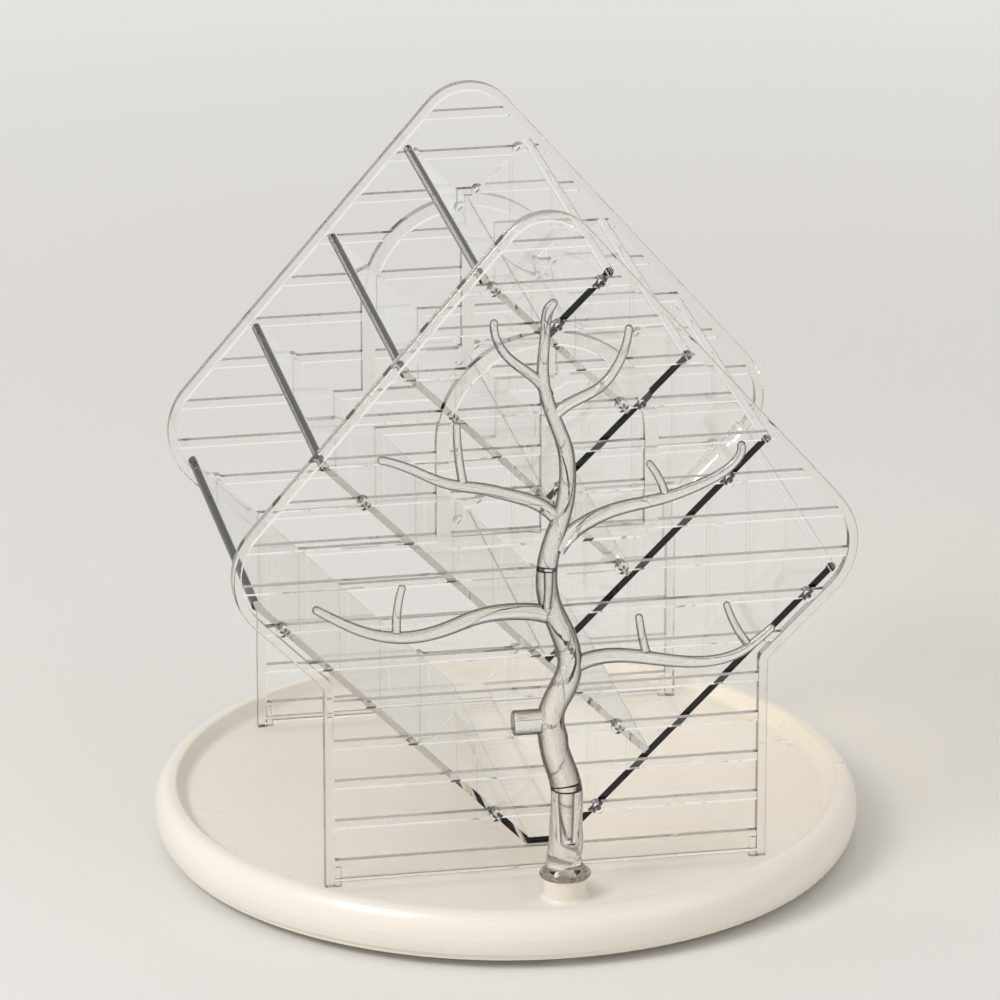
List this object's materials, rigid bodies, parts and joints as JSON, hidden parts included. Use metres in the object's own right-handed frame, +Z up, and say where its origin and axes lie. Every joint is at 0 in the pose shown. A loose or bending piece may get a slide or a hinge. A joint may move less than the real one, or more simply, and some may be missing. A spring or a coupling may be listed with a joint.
{
  "type": "turntable cosmetics rack",
  "caption": "Clear lattice rack of sloping plates between two grille panels, with a clear jewellery tree, on a round tray that turns on a ball bearing.",
  "frame": {"origin": "centre of the footprint, on the surface that the feet stand on", "axes": "+Z up along the turning axis; -Y towards the front, where the jewellery tree stands; +X to the right seen from the front"},
  "size_m": [0.26, 0.26, 0.2674],
  "materials": {
    "clear_acrylic": "clear, polished",
    "cream_plastic": "semi-gloss",
    "steel": "plain",
    "white_plastic": "matt",
    "foot_rubber": "matt"
  },
  "bodies": {
    "base": {"base_disc": "clear_acrylic", "feet": "foot_rubber", "lower_race": "steel", "pivot_bush": "white_plastic"},
    "bearing": {"ball_cage": "white_plastic", "bearing_balls": "steel"},
    "turntable": {"tray": "cream_plastic", "upper_race": "steel", "pivot_washer": "steel", "pivot_screw": "steel", "front_panel": "clear_acrylic", "back_panel": "clear_acrylic", "v_trough": "clear_acrylic", "left_divider_1": "clear_acrylic", "left_divider_2": "clear_acrylic", "left_divider_3": "clear_acrylic", "right_divider_1": "clear_acrylic", "right_divider_2": "clear_acrylic", "right_divider_3": "clear_acrylic", "tree_base": "clear_acrylic", "tree_lower": "clear_acrylic", "tree_upper": "clear_acrylic"}
  },
  "joints": [
    {"name": "tray_spin", "type": "hinge", "parent": "base", "child": "turntable", "pos_m": [0, 0, 0.012], "axis": [0, 0, 1], "continuous": true},
    {"name": "cage_spin", "type": "hinge", "parent": "base", "child": "bearing", "pos_m": [0, 0, 0.012], "axis": [0, 0, 1], "continuous": true}
  ],
  "couplings": [
    {"joint": "cage_spin", "follows": "tray_spin", "ratio": 0.5}
  ]
}
